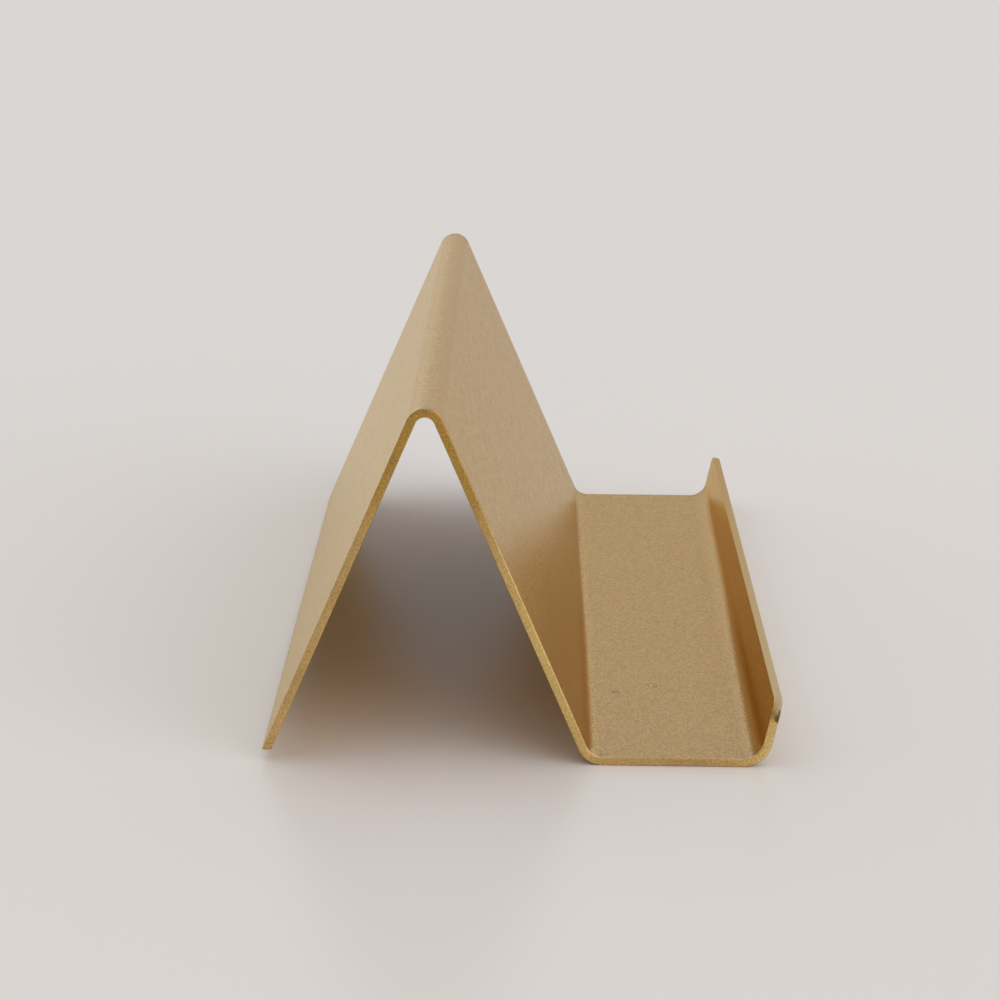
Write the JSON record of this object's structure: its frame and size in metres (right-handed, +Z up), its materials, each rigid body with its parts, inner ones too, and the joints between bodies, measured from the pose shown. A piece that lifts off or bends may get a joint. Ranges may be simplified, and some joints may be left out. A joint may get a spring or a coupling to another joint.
{
  "type": "place card holder",
  "caption": "Place card holder folded from brass sheet: an A-shaped stand with a shallow tray beside it, where cards stand behind a low lip and lean on the sloping leg.",
  "frame": {"origin": "on the table, under the middle of the part's footprint", "axes": "+X from the A-frame towards the tray's lip, +Y along the bends, +Z up"},
  "size_m": [0.052, 0.1, 0.036],
  "materials": {
    "brass_sheet": "matte fine-grained brass with a soft sheen, a warmer gold on the cut edges"
  },
  "bodies": {
    "root": {"folded_sheet": "brass_sheet"}
  },
  "joints": []
}
